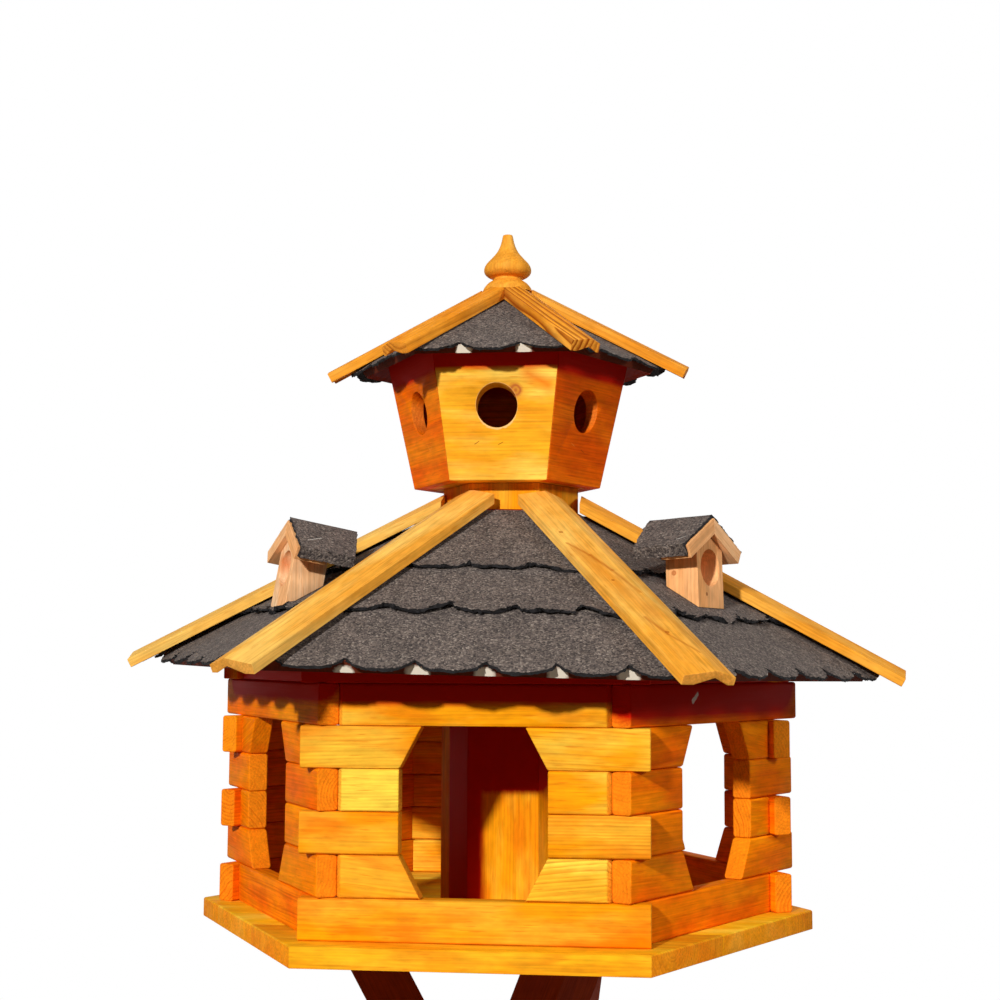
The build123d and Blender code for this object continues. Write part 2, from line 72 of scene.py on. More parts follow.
def new_tree(block):
    """Empties the node tree of a material or world, ready for its nodes."""
    block.use_nodes = True
    block.node_tree.nodes.clear()
    return block.node_tree


def seen_directly(tree):
    """One for rays from the camera and in mirrors or glass, and nought for the light on surfaces."""
    seen = 0.0
    for ray in ("Is Camera Ray", "Is Glossy Ray", "Is Transmission Ray"):
        seen = add(tree, "Math", add(tree, "LightPath", out=ray), seen, operation="MAXIMUM")
    return seen


SURROUND_LIGHT = 0.09
world = bpy.data.worlds.new("white_studio")
bpy.context.scene.world = world
tree = new_tree(world)
ambient = add(tree, "Background", "#ffeedc", SURROUND_LIGHT)
white = add(tree, "Background", "#ffffff", 1.0)
add(tree, "OutputWorld", add(tree, "MixShader", seen_directly(tree), ambient, white))

LAMP_AIM = Vector((0, 0, 1.05))
for lamp_name, place, size, power in (
    ("key_lamp", (-1.88, -6.35, 3.44), 0.34, 515),
    ("fill_lamp", (3.0, -1.7, 2.4), 0.9, 43),
    ("rear_lamp", (0.6, 3.4, 2.6), 1.4, 56),
):
    lamp = bpy.data.lights.new(lamp_name, "AREA")
    lamp.shape = "DISK"
    lamp.size = size
    lamp.energy = power
    lamp_object = bpy.data.objects.new(lamp_name, lamp)
    bpy.context.scene.collection.objects.link(lamp_object)
    lamp_object.location = place
    lamp_object.rotation_euler = (LAMP_AIM - Vector(place)).to_track_quat("-Z", "Y").to_euler()
    # A lamp behind would glint along every arris that faces away from the viewer
    lamp_object.visible_glossy = lamp_name != "rear_lamp"

bpy.context.scene.view_settings.view_transform = "Standard"

# The floor looks pale, but throws back only as much light as a lawn would
FLOOR_RADIUS = 6.0
FADE_START = 1.0
FADE_END = 2.5
floor_paint = bpy.data.materials.new("pale_studio_floor")
tree = new_tree(floor_paint)
seen = seen_directly(tree)
reach = add(tree, "VectorMath", add(tree, "TexCoord", out="Object"), out="Value", operation="LENGTH")
fade = add(tree, "Math", add(tree, "MapRange", reach, FADE_START, FADE_END), seen, operation="MULTIPLY")
# A mix node takes its two colours at inputs 6 and 7, and gives a colour at output 2
shade = add(tree, "Mix", {0: seen, 6: "#726e69", 7: "#f2f1ee"}, out=2, data_type="RGBA")
matt = add(tree, "BsdfDiffuse", shade)
glow = add(tree, "Emission", "#ffffff", 1.0)
add(tree, "OutputMaterial", add(tree, "MixShader", fade, matt, glow))
disc = bmesh.new()
bmesh.ops.create_circle(disc, cap_ends=True, radius=FLOOR_RADIUS, segments=64)
floor_mesh = bpy.data.meshes.new("floor")
disc.to_mesh(floor_mesh)
disc.free()
floor_mesh.materials.append(floor_paint)
floor = bpy.data.objects.new("floor", floor_mesh)
bpy.context.scene.collection.objects.link(floor)

# Camera: it stands 1.6 m in front of the feeder at eye height of the eaves, a little to the right
# and turned back to the middle, and looks up by a few degrees.
CAMERA_PLACE = (0.1639, -1.5977, 1.0272)
CAMERA_YAW = radians(-6.238)
CAMERA_PITCH = radians(5.621)
CAMERA_ROLL = radians(0.276)
CAMERA_LENS = 57.85
CAMERA_SENSOR = 36
camera_data = bpy.data.cameras.new("camera")
camera_data.sensor_width = CAMERA_SENSOR
camera_data.lens = CAMERA_LENS
camera = bpy.data.objects.new("camera", camera_data)
bpy.context.scene.collection.objects.link(camera)
bpy.context.scene.camera = camera
level = Vector((sin(CAMERA_YAW), cos(CAMERA_YAW), 0))
ahead = level * cos(CAMERA_PITCH) + Vector((0, 0, sin(CAMERA_PITCH)))
across = Vector((cos(CAMERA_YAW), -sin(CAMERA_YAW), 0))
upward = across.cross(ahead)
right = across * cos(CAMERA_ROLL) + upward * sin(CAMERA_ROLL)
top = upward * cos(CAMERA_ROLL) - across * sin(CAMERA_ROLL)
camera.matrix_world = Matrix.Translation(CAMERA_PLACE) @ Matrix((right, top, -ahead)).transposed().to_4x4()

# Stand: three square pine timbers that cross like a tripod, sawn level at both ends. They carry
# two coats of orange-brown wood stain, through which the growth rings show as darker lines.
MM = 0.001


def islands(mesh):
    """Lists the connected groups of a bmesh's faces, in the order of its faces."""
    groups = []
    known = set()
    mesh.faces.ensure_lookup_table()
    for face in mesh.faces:
        if face in known:
            continue
        known.add(face)
        group = [face]
        for member in group:
            for edge in member.edges:
                for other in edge.link_faces:
                    if other not in known:
                        known.add(other)
                        group.append(other)
        groups.append(group)
    return groups


def welded(node):
    """A bmesh of a CAD node with its flat faces whole again."""
    mesh = bmesh.new()
    mesh.from_mesh(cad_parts[node].data)
    bmesh.ops.remove_doubles(mesh, verts=mesh.verts, dist=0.01 * MM)
    bmesh.ops.dissolve_limit(mesh, angle_limit=radians(0.6), verts=mesh.verts, edges=mesh.edges)
    return mesh


def longest_axis(points):
    """The direction in which a cloud of points is longest, found by turning a guess towards it."""
    middle = sum(points, Vector()) / len(points)
    spread = Matrix(((0, 0, 0), (0, 0, 0), (0, 0, 0)))
    for point in points:
        arm = point - middle
        for row in range(3):
            for column in range(3):
                spread[row][column] += arm[row] * arm[column]
    axis = Vector((0.61, 0.52, 0.33))
    for _ in range(60):
        axis = (spread @ axis).normalized()
    return axis


def lay_grain(mesh, seed, grain, character, pith):
    """Gives each board of a mesh its own place in a tree.

    The attribute grain holds a point's distance along the board and its two distances from the
    pith, in metres. Tone is how deep the stain is, figure how strongly the rings show, and end
    marks the cut ends. Character gives a board's tone and figure from its middle."""
    draw = random.Random(seed)
    grain_layer = mesh.verts.layers.float_vector.new("grain")
    figure_layer = mesh.verts.layers.float.new("figure")
    tone_layer = mesh.verts.layers.float.new("tone")
    end_layer = mesh.faces.layers.float.new("end")
    for group in islands(mesh):
        verts = list({vert for face in group for vert in face.verts})
        verts.sort(key=lambda vert: tuple(round(part, 5) for part in vert.co))
        points = [vert.co.copy() for vert in verts]
        middle = sum(points, Vector()) / len(points)
        along = Vector(grain).normalized() if grain else longest_axis(points)
        if along.dot(Vector((0.8, 0.5, 0.3))) < 0:
            along = -along
        side = along.cross(Vector((0.11, 0.17, 1.0))).normalized()
        if abs(along.z) > 0.9:
            side = along.cross(Vector((0.2, 1.0, 0.1))).normalized()
        rise = side.cross(along)
        depth, figure = character(middle) if character else (None, None)
        # A board of full figure is sawn with its rings square to its face
        angle = draw.uniform(0, 2 * pi) * (0.03 if figure == 1 else 1)
        distance = draw.uniform(*pith) * MM
        pith_side = distance * cos(angle)
        pith_rise = distance * sin(angle)
        start = draw.uniform(0, 4)
        own_figure = draw.random() ** 2
        own_depth = draw.random()
        if not character:
            depth, figure = own_depth, own_figure
        for vert, point in zip(verts, points):
            arm = point - middle
            vert[grain_layer] = (arm.dot(along) + start, arm.dot(side) + pith_side, arm.dot(rise) + pith_rise)
            vert[figure_layer] = figure
            vert[tone_layer] = depth
        for face in group:
            face[end_layer] = max(0.0, abs(face.normal.dot(along)) * 2.2 - 1.2)


def show(mesh, name, material, slot, *nodes):
    """Turns a bmesh into a piece of the feeder that stands for CAD nodes."""
    data = bpy.data.meshes.new(name)
    mesh.to_mesh(data)
    mesh.free()
    data.materials.append(material)
    data.shade_smooth()
    data.set_sharp_from_angle(angle=radians(24))
    piece = bpy.data.objects.new(name, data)
    bpy.context.scene.collection.objects.link(piece)
    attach(piece, "root")
    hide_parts(*nodes)
    return piece


def sharp_edges(mesh, angle):
    """The edges where two faces of a mesh meet at more than an angle in degrees."""
    return [edge for edge in mesh.edges if edge.is_manifold and edge.calc_face_angle() > radians(angle)]


def ease_arrises(mesh, ease):
    """Rounds the sharp edges of a mesh, as sandpaper does, from the width of the round in mm."""
    sharp = sharp_edges(mesh, 20)
    bmesh.ops.bevel(
        mesh, geom=sharp, offset=ease * MM, segments=2, profile=0.5, affect="EDGES", clamp_overlap=True
    )


def board_piece(node, material, slot, ease=0.8, grain=None, character=None, pith=(12, 70)):
    """A CAD node's boards with eased arrises and with their own grain."""
    mesh = welded(node)
    ease_arrises(mesh, ease)
    lay_grain(mesh, node, grain, character, pith)
    return show(mesh, "dressed_" + node, material, slot, node)


def line_gap(tree, place, start, stop):
    """The distance in metres from a straight line between two points."""
    run = Vector(stop) - Vector(start)
    arm = add(tree, "VectorMath", place, start, operation="SUBTRACT")
    share = add(tree, "VectorMath", arm, run / run.length_squared, out="Value", operation="DOT_PRODUCT")
    foot = add(tree, "VectorMath", {0: run, "Scale": add(tree, "Clamp", share)}, operation="SCALE")
    return add(tree, "VectorMath", arm, foot, out="Value", operation="DISTANCE")


def axis_gap(tree, place, centre, axis):
    """The distance in metres from an endless line through a centre."""
    arm = add(tree, "VectorMath", place, centre, operation="SUBTRACT")
    aside = add(tree, "VectorMath", arm, axis, operation="CROSS_PRODUCT")
    return add(tree, "VectorMath", aside, out="Value", operation="LENGTH")


def stained_pine(
    name, early, late, deep, pale, cut, ring=3.0, figure=0.5, roughness=0.6, knots=(), marks=(), rims=()
):
    """Planed or sawn pine under a translucent stain, from five sRGB codes.

    The soft early wood takes the stain light and bright, and each year's late wood darker. Deep is
    where the stain soaked in, pale where it lies thin, and cut is the end grain. Ring is the width
    of a year's growth in mm, figure how much darker the late wood is, and roughness the coat's.

    A knot is a centre in metres, a radius in mm, the direction of its branch and a colour. A mark
    is a line between two points in metres, its width in mm, a colour and a strength, and where that
    is above one, the middle of the line is in full colour. A rim is wood torn by a drill: the centre
    and axis of the bore, its radius and the width of the torn wood in mm, and a colour."""
    material = bpy.data.materials.new(name)
    tree = new_tree(material)
    place = add(tree, "TexCoord", out="Object")
    grain = add(tree, "Attribute", out="Vector", attribute_name="grain")
    shows = add(tree, "Attribute", out="Fac", attribute_name="figure")
    tone = add(tree, "Attribute", out="Fac", attribute_name="tone")
    end = add(tree, "Attribute", out="Fac", attribute_name="end")

    def streaks(length, width, detail=2.0):
        """Noise drawn out along the grain, from the length and width of a streak in mm."""
        scales = (1 / (length * MM), 1 / (width * MM), 1 / (width * MM))
        where = add(tree, "VectorMath", grain, scales, operation="MULTIPLY")
        return add(tree, "TexNoise", {"Vector": where, "Scale": 1.0, "Detail": detail})

    # The distance from the pith wanders by a few millimetres, and grows round each knot
    across = add(tree, "VectorMath", grain, (0, 1, 1), operation="MULTIPLY")
    radius = add(tree, "VectorMath", across, out="Value", operation="LENGTH")
    sway = add(tree, "MapRange", streaks(285.7, 45.45), 0.0, 1.0, -8 * MM, 8 * MM)
    radius = add(tree, "Math", radius, sway, operation="ADD")
    hearts = []
    for centre, size, branch, code in knots:
        uneven = 0.15 * size * MM
        gap = add(tree, "MapRange", streaks(11.11, 6.25), 0.0, 1.0, -uneven, uneven)
        gap = add(tree, "Math", axis_gap(tree, place, centre, branch), gap, operation="ADD")
        near = add(tree, "Math", gap, size * MM, operation="DIVIDE")
        square = add(tree, "Math", near, near, operation="MULTIPLY")
        push = add(tree, "Math", add(tree, "Math", square, -0.22, operation="MULTIPLY"), operation="EXPONENT")
        radius = add(tree, "Math", push, 1.5 * ring * MM, radius, operation="MULTIPLY_ADD")
        wave = add(tree, "Math", add(tree, "Math", near, 12.0, operation="MULTIPLY"), operation="SINE")
        depth = add(tree, "Math", wave, 0.22, 0.7, operation="MULTIPLY_ADD")
        inside = add(tree, "MapRange", near, 1.15, 0.85)
        hearts.append((add(tree, "Math", inside, depth, operation="MULTIPLY"), code))

    # Each year's ring darkens slowly and ends at once, and some years' late wood is harder
    drift = add(tree, "Math", streaks(833.3, 22.22), 1.6, operation="MULTIPLY")
    age = add(tree, "Math", radius, ring * MM, operation="DIVIDE")
    years = add(tree, "Math", age, drift, operation="ADD")
    year = add(tree, "Math", years, operation="FLOOR")
    hard = add(tree, "TexWhiteNoise", {"W": year}, noise_dimensions="1D")
    part = add(tree, "Math", years, operation="FRACT")
    strong = add(tree, "Math", shows, 1.1, 0.25, operation="MULTIPLY_ADD")
    rings = add(tree, "MapRange", part, 0.25, 0.85)
    for factor in (
        add(tree, "MapRange", part, 1.0, 0.9),
        add(tree, "Math", hard, 0.7, 0.3, operation="MULTIPLY_ADD"),
        add(tree, "Math", end, 0.35, strong, operation="MULTIPLY_ADD"),
    ):
        rings = add(tree, "Math", rings, factor, operation="MULTIPLY")

    # The stain soaked into soft patches, lies thin on others, and is drawn into the sawn ends
    soak = add(tree, "MapRange", streaks(90.91, 27.78, 5.0), 0.44, 0.6, 0.0, 0.95)
    soak_share = add(tree, "Math", tone, 0.7, 0.3, operation="MULTIPLY_ADD")
    thin = add(tree, "MapRange", streaks(142.9, 35.71, 4.0), 0.56, 0.4, 0.0, 0.85)
    thin = add(tree, "Math", thin, add(tree, "Math", 1.1, tone, operation="SUBTRACT"), operation="MULTIPLY")
    bare = add(tree, "Math", tone, -0.6, operation="MULTIPLY")
    colour = early
    for share, code in (
        (add(tree, "Math", thin, bare, operation="MAXIMUM"), pale),
        (add(tree, "Math", soak, soak_share, operation="MULTIPLY"), deep),
        (add(tree, "Math", tone, 0.4, operation="MULTIPLY"), deep),
        (add(tree, "Math", end, 0.75, operation="MULTIPLY"), cut),
        (add(tree, "Math", rings, figure, operation="MULTIPLY"), late),
    ):
        colour = add(tree, "Mix", {0: share, 6: colour, 7: code}, out=2, data_type="RGBA")
    # Real fibres and resin canals are finer than 0.3 mm, and are drawn coarser so that they show
    fibre = streaks(71.43, 1.786, 3.0)
    mottle = add(tree, "MapRange", streaks(16.67, 7.692, 3.0), 0.32, 0.68, 0.88, 1.08)
    fibre_shade = add(tree, "MapRange", fibre, 0.3, 0.72, 1.1, 0.8)
    for shade in (fibre_shade, mottle):
        colour = add(tree, "VectorMath", colour, shade, operation="MULTIPLY")

    # Resin canals, marks, knots and torn rims lie over the rest, each by its share
    layers = [(add(tree, "MapRange", streaks(22.22, 1.25, 1.0), 0.64, 0.74, 0.0, 0.5), late)]
    for start, stop, width, code, strength in marks:
        uneven = 0.3 * min(width, 6.0) * MM
        gap = add(tree, "MapRange", streaks(25.0, 3.846), 0.0, 1.0, -uneven, uneven)
        gap = add(tree, "Math", line_gap(tree, place, start, stop), gap, operation="ADD")
        layers.append((add(tree, "MapRange", gap, 0.6 * width * MM, 0.0, 0.0, strength), code))
    layers += hearts
    for centre, axis, bore_radius, width, code in rims:
        gap = axis_gap(tree, place, centre, axis)
        height = add(tree, "SeparateXYZ", place, out="Z")
        low = centre[2] - bore_radius * MM
        high = low + 0.6 * bore_radius * MM
        torn = add(tree, "MapRange", height, high, low, 0.5 * width * MM, 2.4 * width * MM)
        torn = add(tree, "Math", streaks(3.846, 2.381, 3.0), torn, operation="MULTIPLY")
        torn = add(tree, "Math", torn, (bore_radius + 0.3) * MM, operation="ADD")
        edge = add(tree, "MapRange", add(tree, "Math", torn, gap, operation="SUBTRACT"), 0.0, 0.5 * MM)
        outside = add(tree, "MapRange", gap, (bore_radius + 0.05) * MM, (bore_radius + 0.3) * MM, 0.0, 0.75)
        layers.append((add(tree, "Math", edge, outside, operation="MULTIPLY"), code))
    for share, code in layers:
        colour = add(tree, "Mix", {0: share, 6: colour, 7: code}, out=2, data_type="RGBA")

    # Brushed-on stain leaves the rings and fibres standing a little proud, with a dull gloss
    ridges = add(tree, "Math", rings, 0.5, operation="MULTIPLY")
    height = add(tree, "Math", fibre, 0.6, ridges, operation="MULTIPLY_ADD")
    relief = add(tree, "Bump", {"Height": height, "Strength": 0.35, "Distance": 0.35 * MM})
    rough = add(tree, "MapRange", fibre, 0.0, 1.0, roughness - 0.07, roughness + 0.12)
    coat = add(tree, "BsdfPrincipled", {
        "Base Color": colour, "Roughness": rough, "Normal": relief, "IOR": 1.45, "Specular IOR Level": 0.06,
    })
    add(tree, "OutputMaterial", coat)
    return material


stand_stain = stained_pine(
    "stained_stand_timber", "#c04406", "#7c2000", "#982c00", "#d45c10", "#a83a08", ring=3.6, figure=0.4
)
for leg_name in ("left_leg", "front_leg", "back_leg"):
    board_piece(leg_name, stand_stain, "stand_timber", ease=2.0, pith=(5, 30))

# Tray: planed pine planks 105 mm wide, glued side by side and cut to a hexagon. The long
# grain runs from left to right, so the slanting edges show it cut across.
tray_stain = stained_pine(
    "stained_tray_planks", "#fcc31a", "#d87408", "#f49810", "#ffda4a", "#ff7a14", ring=3.4, figure=0.45
)
PLANK_WIDTH = 105 * MM
NARROWEST_PLANK = 5 * MM


def slab(mesh, low, high, axis):
    """Keeps the part of a closed mesh between two parallel planes, and closes the cuts."""
    for height, normal in ((low, -axis), (high, axis)):
        geometry = mesh.verts[:] + mesh.edges[:] + mesh.faces[:]
        bmesh.ops.bisect_plane(
            mesh, geom=geometry, plane_co=axis * height, plane_no=normal, clear_outer=True, dist=1e-6
        )
        bmesh.ops.holes_fill(mesh, edges=[edge for edge in mesh.edges if edge.is_boundary], sides=0)


def join(meshes):
    """Joins several bmeshes into one."""
    whole = bmesh.new()
    for mesh in meshes:
        part = bpy.data.meshes.new("part")
        mesh.to_mesh(part)
        mesh.free()
        whole.from_mesh(part)
        bpy.data.meshes.remove(part)
    return whole


low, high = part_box("tray")
planks = []
edge_of_plank = low.y
while edge_of_plank < high.y - NARROWEST_PLANK:
    plank = welded("tray")
    slab(plank, edge_of_plank, min(edge_of_plank + PLANK_WIDTH, high.y + MM), Vector((0, 1, 0)))
    ease_arrises(plank, 0.5)
    planks.append(plank)
    edge_of_plank += PLANK_WIDTH
tray = join(planks)
lay_grain(tray, "tray", (1, 0, 0), None, (15, 50))
show(tray, "dressed_tray", tray_stain, "glazed_pine", "tray")

# Log walls: planed pine bars with chamfered arrises, laid in seven courses. Every second side
# runs past the corner and its neighbours butt against it, as in a log cabin.
ORANGE_STAIN = ("#faa406", "#d26200", "#ee7000", "#ffd646", "#f29a24")
# The side walls take a redder, deeper copy of the same stain, which is painted shade, as they get less light
# than the front
SIDE_SHADE_STAIN = ("#ff8c00", "#d65400", "#f46600", "#ffa810", "#ff9018")
# The deep red in which the shade under the eaves is painted
PAINTED_SHADE_RED = "#c61600"
SIDES = ("front", "front_right", "back_right", "back", "back_left", "front_left")
# The house stands a little to the left of the roof's axis
HOUSE_X = -7 * MM
# The distance of each wall's outer face from the house's own axis
WALL_DISTANCE = 234.2 * MM
EAVE_HEIGHT = 1.010
COURSE = 36.25 * MM
wall_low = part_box("front_wall")[0].z
# The stain's depth and the strength of the rings on the front logs, by course and half. The top course's
# deeper stain is painted shade from the eaves.
FRONT_LOGS = {
    (0, 0): (0.6, 0.15), (1, -1): (0.6, 0.1), (1, 1): (-0.6, 0.9), (2, -1): (0.6, 0.1), (2, 1): (0.5, 0.6),
    (3, -1): (-1.6, 0.3), (3, 1): (0.0, 0.15), (4, -1): (0.3, 0.25), (4, 1): (-0.1, 0.4), (5, 0): (0.2, 0.1),
    (6, 0): (1.2, 0.2),
}
# A small near-white spot lies on the top course on the right
PALE_SPOT = ((0.179, -0.146, 0.990), (0.183, -0.139, 0.996), 4.2, "#fff6ec", 3.0)


def front_log(middle):
    """The character of each log of the front wall. A course is one log where no window parts it."""
    course = int((middle.z - wall_low) / COURSE)
    half = 0 if course in (0, 5, 6) else (-1 if middle.x < HOUSE_X else 1)
    return FRONT_LOGS[(course, half)]


def eave_painted_shade(side, middle_x, distance, height, width):
    """A strip of painted shade in deep red along the top of one side, where the eaves shade it."""
    corners = []
    for bearing in (radians(-120 + 60 * side), radians(-60 + 60 * side)):
        reach = distance / cos(pi / 6)
        corners.append((middle_x + reach * cos(bearing), reach * sin(bearing), height))
    return (*corners, width, PAINTED_SHADE_RED, 4.0)


for side, side_name in enumerate(SIDES):
    # The side walls' redder stain is painted shade
    coats = ORANGE_STAIN if side_name in ("front", "back") else SIDE_SHADE_STAIN
    # Each wall carries a strip of painted shade under its eaves
    marks = [eave_painted_shade(side, HOUSE_X, WALL_DISTANCE, EAVE_HEIGHT, 70 if side_name == "front_right" else 42)]
    if side_name == "front_right":
        marks.append(PALE_SPOT)
    wall_stain = stained_pine("stained_logs_" + side_name, *coats, ring=3.1, marks=marks)
    board_piece(
        side_name + "_wall", wall_stain, "glazed_pine", ease=1.6,
        character=front_log if side_name == "front" else None,
    )

# Silo: six upright pine boards, mitred and glued into a hexagonal shaft for the seed. Where the walls and
# roof shade it, that shade is painted into the stain in deep red.
SILO_PAINTED_SHADE = (
    ((-0.045, -0.045, 0.800), (-0.045, -0.045, 1.100), 53, PAINTED_SHADE_RED, 6.0),
    ((-0.030, -0.0589, 0.932), (0.033, -0.0589, 0.932), 57, PAINTED_SHADE_RED, 6.7),
    ((0.000, -0.0589, 0.980), (0.000, -0.0589, 1.130), 66, PAINTED_SHADE_RED, 6.7),
)
silo_stain = stained_pine("stained_silo_boards", *ORANGE_STAIN, ring=3.0, figure=0.25, marks=SILO_PAINTED_SHADE)
board_piece("silo", silo_stain, "glazed_pine", ease=0.5, grain=(0, 0, 1), pith=(20, 80))

# Roof deck: thin pine boards under the felt, stained red below, and that red is partly painted shade under
# the eaves. Their sawn edges at the eaves are bare wood, painted dark as shade under the felt, with pale
# spots of painted light in the notches of the felt.
# The deck's deep red is partly its red stain and partly painted shade under the eaves
DECK_STAIN_AND_SHADE = ("#9c2806", "#6a1602", "#7e1c02", "#b44410", "#9c3408")
deck_stain_and_shade = stained_pine("stained_and_shaded_roof_boards", *DECK_STAIN_AND_SHADE, ring=3.2)
# How far the deck falls for each metre outwards, at its pitch of 31 degrees
DECK_FALL = 0.603
LIT_BARE_WOOD = "#f3e8d4"
DIMMER_BARE_WOOD = "#e6cfae"
# Pale bare wood painted where light falls into the notches of the felt, partly the wood's own colour and
# partly painted light
LIT_EAVE_NOTCHES = (
    ((-0.1070, -0.2990, 1.0150), (-0.1040, -0.2990, 1.0150), 13.0, LIT_BARE_WOOD, 2.6),
    ((-0.0480, -0.2998, 1.0150), (-0.0420, -0.2998, 1.0150), 14.0, LIT_BARE_WOOD, 2.6),
    ((0.0080, -0.2996, 1.0140), (0.0120, -0.2996, 1.0140), 13.0, LIT_BARE_WOOD, 2.6),
    ((0.0680, -0.3005, 1.0140), (0.0710, -0.3005, 1.0140), 13.0, LIT_BARE_WOOD, 2.6),
    ((0.1240, -0.3004, 1.0130), (0.1290, -0.3004, 1.0130), 13.0, LIT_BARE_WOOD, 2.6),
    ((-0.0330, -0.1275, 1.3140), (-0.0300, -0.1275, 1.3140), 12.0, LIT_BARE_WOOD, 2.6),
    ((0.0235, -0.1280, 1.3145), (0.0260, -0.1280, 1.3145), 12.0, LIT_BARE_WOOD, 2.6),
    ((-0.0940, -0.1100, 1.3140), (-0.0900, -0.1160, 1.3140), 9.0, DIMMER_BARE_WOOD, 2.0),
    ((0.0880, -0.1120, 1.3120), (0.0910, -0.1080, 1.3120), 9.0, DIMMER_BARE_WOOD, 2.0),
)
# The eave edges are painted dark as shade under the felt, with the lit notches over it
eave_edge_shade_and_light = stained_pine(
    "eave_edges_painted_shade_and_light", "#6a2c1a", "#4a1c10", "#5a2214", "#7c3a26", "#6a2e1c", ring=3.2, roughness=0.7,
    marks=LIT_EAVE_NOTCHES,
)


def deck_piece(node, inner_radius, reach):
    """A roof deck whose outer edge takes painted shade and lit spots, and lies a little way out to show under
    the felt.
    """
    piece = board_piece(node, deck_stain_and_shade, "deck_board", ease=0.4)
    piece.data.materials.append(eave_edge_shade_and_light)
    eave_moves = {}
    for face in piece.data.polygons:
        if abs(face.normal.z) < 0.6 and Vector(face.center[:2]).length > inner_radius:
            face.material_index = 1
            outward = Vector((face.center.x, face.center.y, 0)).normalized()
            for number in face.vertices:
                eave_moves[number] = (outward - Vector((0, 0, DECK_FALL))) * reach
    for number, move in eave_moves.items():
        piece.data.vertices[number].co += move


deck_piece("roof_deck", 250 * MM, 6 * MM)

# Felt: bitumen felt with brown-grey mineral granules, cut to scallops and nailed in three courses
# that overlap. Its cut edges are black and ragged, curl up a little, and droop past the eave.
GRIT = 1.5 * MM
# The colours of the granules, each with the share of them that are darker
GRIT_COLOURS = ((0.0, "#2f2927"), (0.3, "#4e4541"), (0.6, "#635852"), (0.88, "#74685f"), (1.0, "#94887d"))
WORN_PATCH = 16.67 * MM
SCRAPED = "#cfc8bd"
FELT_MARKS = (
    ((0.0045, -0.1565, 1.1290), (-0.0020, -0.1575, 1.1285), 0.9, SCRAPED),
    ((0.0310, -0.1570, 1.1290), (0.0240, -0.1578, 1.1285), 0.9, SCRAPED),
    ((0.1656, -0.1460, 1.1347), (0.1750, -0.1450, 1.1375), 1.0, SCRAPED),
    ((-0.1734, -0.1439, 1.1350), (-0.1642, -0.1263, 1.1381), 1.0, SCRAPED),
    ((-0.0060, -0.0736, 1.3563), (0.0075, -0.0586, 1.3653), 1.2, "#262020"),
)


def grit_felt():
    """Bitumen felt: dull mineral granules pressed into black bitumen, and black where it is cut.

    The granules are 1 mm in truth, drawn half as coarse again so that they show."""
    material = bpy.data.materials.new("mineral_felt")
    tree = new_tree(material)
    place = add(tree, "TexCoord", out="Object")
    cells = add(tree, "TexVoronoi", {"Vector": place, "Scale": 1 / GRIT, "Randomness": 1.0}).node.outputs
    gritty = add(tree, "ValToRGB", add(tree, "SeparateColor", cells["Color"]))
    elements = gritty.node.color_ramp.elements
    while len(elements) < len(GRIT_COLOURS):
        elements.new(0.5)
    for element, (position, code) in zip(elements, GRIT_COLOURS):
        element.position = position
        element.color = linear(code)
    worn = add(tree, "TexNoise", {"Vector": place, "Scale": 1 / WORN_PATCH, "Detail": 4.0})
    patch = add(tree, "MapRange", worn, 0.3, 0.7, 0.78, 1.18)
    gritty = add(tree, "VectorMath", gritty, patch, operation="MULTIPLY")
    granules = add(tree, "Attribute", out="Fac", attribute_name="granules")
    colour = add(tree, "Mix", {0: granules, 6: "#0f0c0d", 7: gritty}, out=2, data_type="RGBA")
    for start, stop, width, code in FELT_MARKS:
        near = add(tree, "MapRange", line_gap(tree, place, start, stop), 0.7 * width * MM, 0.2 * width * MM)
        colour = add(tree, "Mix", {0: near, 6: colour, 7: code}, out=2, data_type="RGBA")
    lumps = add(tree, "MapRange", cells["Distance"], 0.0, 0.7, 1.0, 0.0)
    relief = add(tree, "Bump", {"Height": lumps, "Strength": 0.8, "Distance": 0.7 * MM})
    surface = add(tree, "BsdfPrincipled", {
        "Base Color": colour, "Roughness": 0.85, "Normal": relief, "IOR": 1.5, "Specular IOR Level": 0.3,
    })
    add(tree, "OutputMaterial", surface)
    return material


felt_stuff = grit_felt()
FELT_GRID = 6 * MM
# The felt is 2.5 mm thick, so a narrower face than this is a cut edge
RIM_WIDTH = 3.2 * MM
# How far in from its lower edge a sheet curls, and moves as its scallops are cut back
CURL_WIDTH = 15 * MM
CREEP_WIDTH = 40 * MM
# How far past the line where the eave's droop starts it reaches its full measure
DROOP_WIDTH = 12 * MM
# Near the hip boards, which press it down, felt moves less and less, and beside them it is lifted
HIP_FADE = 30 * MM
HIP_REACH = 10 * MM
# A sheet that ends less than this short of the outermost one lies at the eave
COURSE_STEP = 20 * MM
# How far the sheets rise and fall in shallow waves
SHEET_WAVE = 0.4 * MM
# Waves to the metre in the sheets, along their curl, and coarse and fine in their torn edges
SHEET_WAVES = 30
CURL_WAVES = 45
TEAR_WAVES = 130
SHRED_WAVES = 470
# The torn edges are drawn from this seed, so that they come out the same each time
TEAR_SEED = 1
noise.seed_set(TEAR_SEED)


def cut_to_grid(mesh, low, high):
    """Cuts a mesh into squares from above, so that it can bend."""
    for axis, start, stop in ((Vector((1, 0, 0)), low.x, high.x), (Vector((0, 1, 0)), low.y, high.y)):
        cut = start + FELT_GRID
        while cut < stop:
            geometry = mesh.verts[:] + mesh.edges[:] + mesh.faces[:]
            bmesh.ops.bisect_plane(mesh, geom=geometry, plane_co=axis * cut, plane_no=axis, dist=1e-6)
            cut += FELT_GRID
    mesh.normal_update()
    bmesh.ops.subdivide_edges(mesh, edges=sharp_edges(mesh, 50), cuts=2)
    mesh.normal_update()


